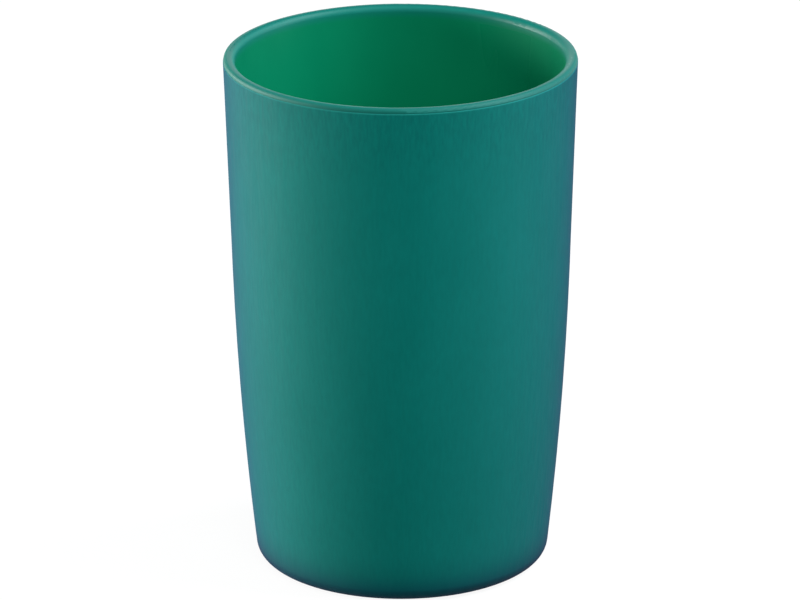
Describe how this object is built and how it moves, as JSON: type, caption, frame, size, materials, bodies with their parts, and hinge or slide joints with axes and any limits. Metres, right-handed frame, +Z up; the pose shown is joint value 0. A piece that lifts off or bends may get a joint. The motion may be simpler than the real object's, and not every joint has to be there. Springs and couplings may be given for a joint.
{
  "type": "bathroom tumbler",
  "caption": "Tapered round bathroom tumbler: satin outer shell that bows in towards its base, glossy inner cup with a rolled lip, and a non-slip ring underneath.",
  "frame": {"origin": "centre of the footprint, on the surface that the non-slip ring stands on", "axes": "+Z up along the tumbler's axis, out of its mouth; X and Y are free, because the tumbler is round"},
  "size_m": [0.072, 0.072, 0.108],
  "materials": {
    "cup_gloss": "glossy saturated green, moulded in colour, polished lip",
    "shell_satin": "satin blue-green, fine moulded grain",
    "ring_soft": "matt soft elastomer"
  },
  "bodies": {
    "root": {"inner_cup": "cup_gloss", "outer_shell": "shell_satin", "non_slip_ring": "ring_soft"}
  },
  "joints": []
}
